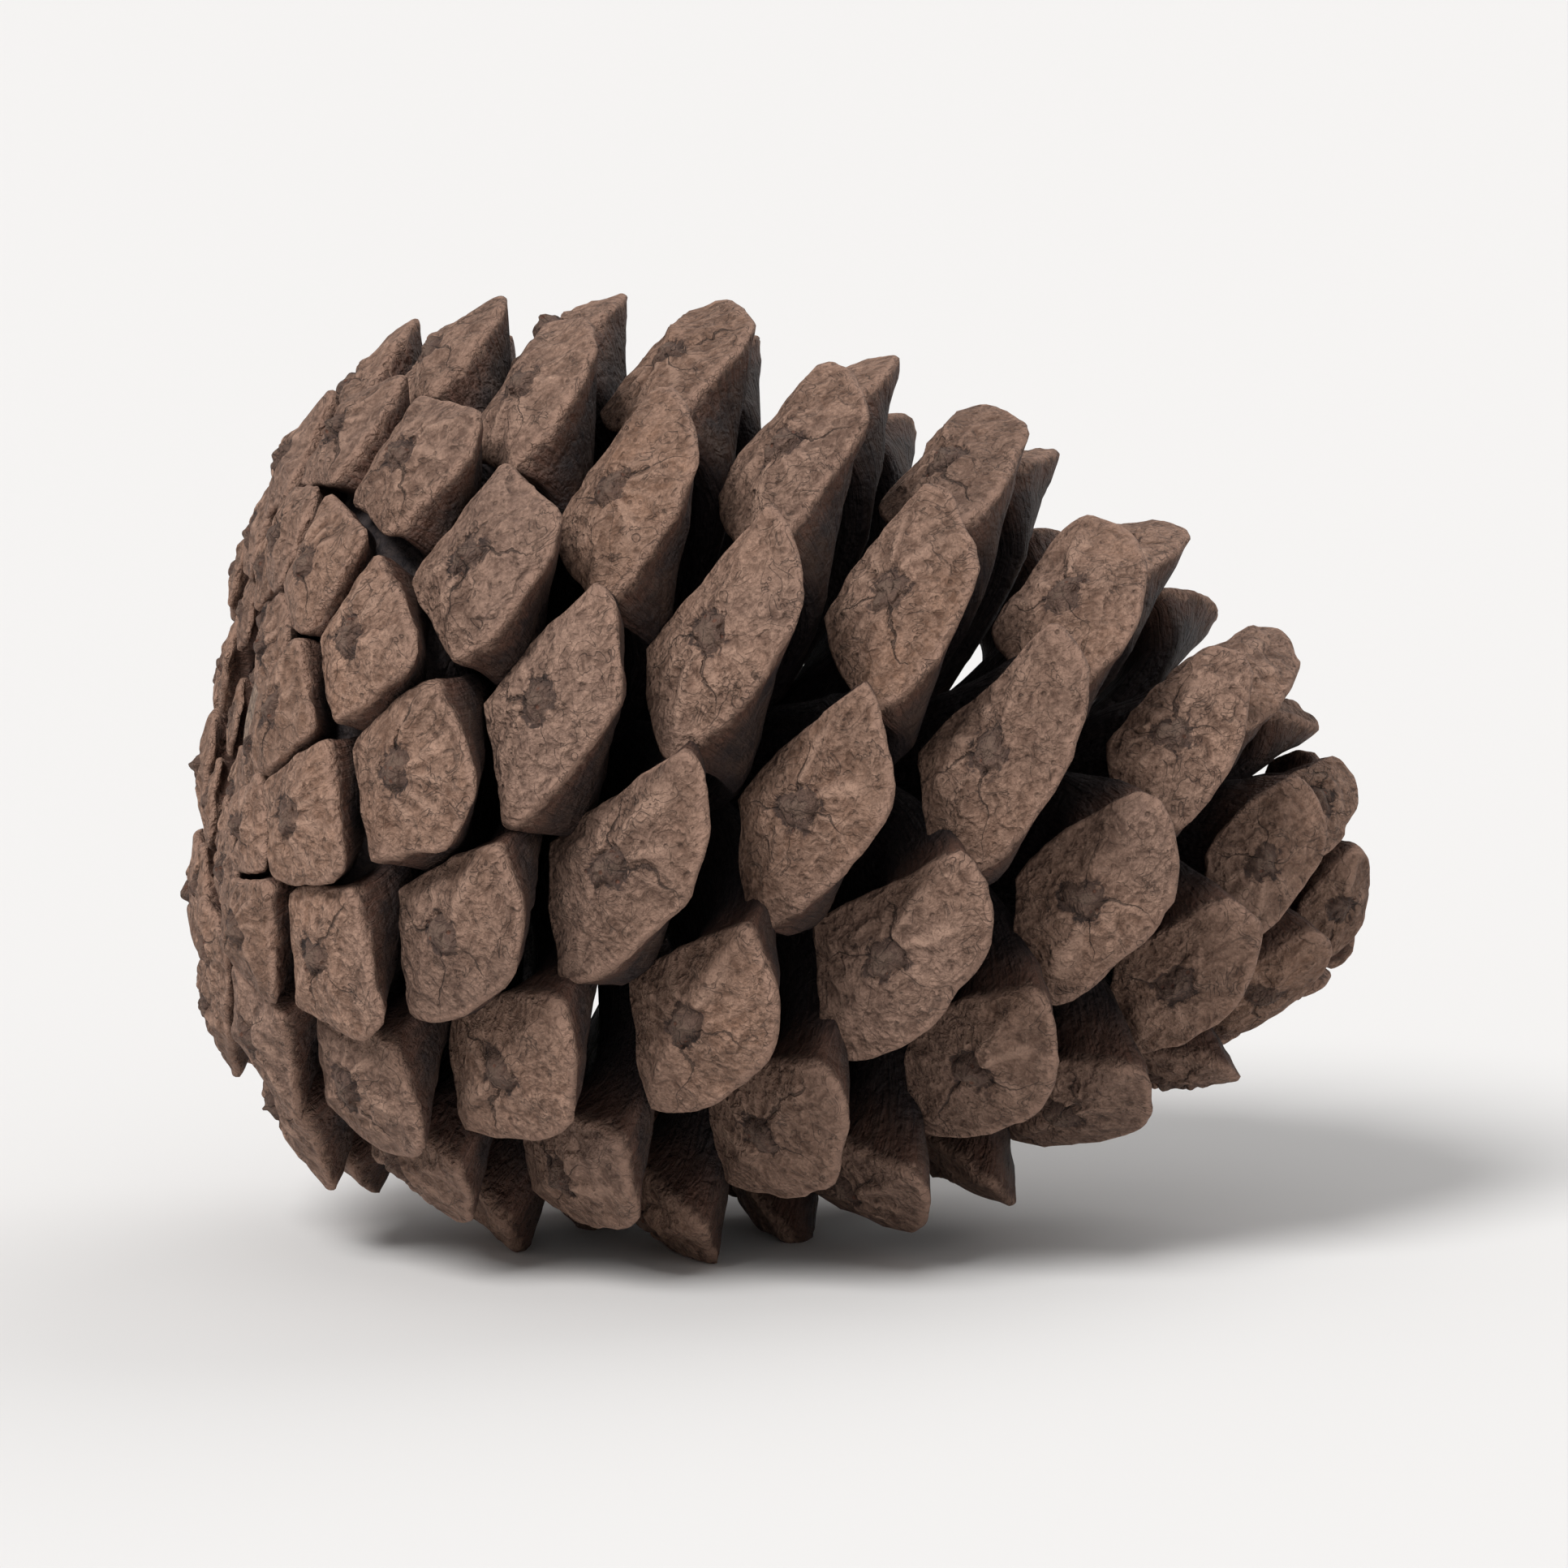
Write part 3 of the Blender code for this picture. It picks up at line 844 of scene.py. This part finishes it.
tip_knob = turned("tip_knob", KNOB_PROFILE, rows=34, around=48, roughness=0.22 * MM)
tip_knob_wood = bark_finish(
    "tip_knob_wood", KNOB_TAN, KNOB_DARK, fineness=1.2, roughness=0.85, distance=0.6 * MM
)
tip_knob.data.materials.append(tip_knob_wood)
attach(tip_knob, "root")
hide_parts("pine_cone")

# The stalk scar
# The round pale stub, about 6.6 mm across, where the cone broke off its twig: torn wood with
# a rough surface, sunk a little among the first small scales.

SCAR_TAN = (0.340, 0.235, 0.170)
SCAR_DARK = (0.105, 0.070, 0.052)

SCAR_PROFILE = np.array(
    [(1.25, 0.0), (1.15, 1.0), (1.05, 1.9), (1.15, 2.4), (1.6, 2.75), (2.6, 3.1), (3.6, 3.3),
     (4.2, 0.0)]
)
scar = turned("stalk_scar", SCAR_PROFILE, rows=34, around=60, roughness=0.30 * MM)
torn_wood = bark_finish(
    "torn_stalk_wood", SCAR_TAN, SCAR_DARK, fineness=1.3, roughness=0.9, distance=0.6 * MM
)
scar.data.materials.append(torn_wood)
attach(scar, "root")
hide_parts("pine_cone")

# The floor
# A plain pale surface under the cone, large enough to fill the view, also one from a low
# height such as 5 degrees.

FLOOR_SIZE = 40.0
PAPER_WHITE = (0.75, 0.74, 0.73, 1)

bpy.ops.mesh.primitive_plane_add(size=FLOOR_SIZE)
floor = bpy.context.object
floor.name = "floor"
paper = bpy.data.materials.new("pale_floor")
paper.use_nodes = True
paper_shader = paper.node_tree.nodes["Principled BSDF"]
paper_shader.inputs["Base Color"].default_value = PAPER_WHITE
paper_shader.inputs["Roughness"].default_value = 0.9
floor.data.materials.append(paper)

# The light
# Soft studio light: one broad source high on the left, a weaker one behind on the right, and
# an even pale surround. Past the floor's far edge the camera sees the floor's own white, as on
# a studio's curved backdrop, so a view from a low height has no grey band.

SURROUND_LIGHT = (0.45, 0.446, 0.446)
SURROUND_SEEN = (0.914, 0.900, 0.888)


def far_panel(name, toward, breadth, strength):
    """A broad light far away in a direction, as wide as the given angle seen from the cone."""
    lamp = bpy.data.lights.new(name, "SUN")
    lamp.angle = breadth
    lamp.energy = strength
    light = bpy.data.objects.new(name, lamp)
    pan = math.atan2(toward[0], -toward[1])
    light.rotation_euler = (math.acos(toward[2] / np.linalg.norm(toward)), 0, pan)
    bpy.context.scene.collection.objects.link(light)


far_panel("key_panel", toward=(-0.55, -0.50, 0.80), breadth=math.radians(24), strength=2.7)
far_panel("rear_panel", toward=(0.60, 0.50, 0.60), breadth=math.radians(50), strength=0.8)
world = bpy.data.worlds.new("studio")
world.use_nodes = True
surround = world.node_tree.nodes["Background"]
seen = wire(world.node_tree, "ShaderNodeLightPath").outputs["Is Camera Ray"]
surround_colour = between(world.node_tree, seen, SURROUND_LIGHT, SURROUND_SEEN)
world.node_tree.links.new(surround_colour, surround.inputs["Color"])
surround.inputs["Strength"].default_value = 1.0
bpy.context.scene.world = world
bpy.context.scene.view_settings.view_transform = "Standard"

# The camera
# At the height and side that the photograph shows the cone from: the stalk end a little
# nearer than the tip, seen from just above level.

CAMERA_AZIMUTH = math.radians(-9)
CAMERA_ELEVATION = math.radians(8)
CAMERA_DISTANCE = 0.62
AIM = np.array([0.0, 0.0, 0.0285])
VIEW_WIDTH = 0.098
SENSOR_WIDTH = 36

lens = bpy.data.cameras.new("camera")
lens.sensor_width = SENSOR_WIDTH
lens.lens = SENSOR_WIDTH * CAMERA_DISTANCE / VIEW_WIDTH
camera = bpy.data.objects.new("camera", lens)
back = np.array(
    [
        math.sin(CAMERA_AZIMUTH) * math.cos(CAMERA_ELEVATION),
        -math.cos(CAMERA_AZIMUTH) * math.cos(CAMERA_ELEVATION),
        math.sin(CAMERA_ELEVATION),
    ]
)
camera.location = AIM + back * CAMERA_DISTANCE
camera.rotation_euler = (math.pi / 2 - CAMERA_ELEVATION, 0, CAMERA_AZIMUTH)
bpy.context.scene.collection.objects.link(camera)
bpy.context.scene.camera = camera
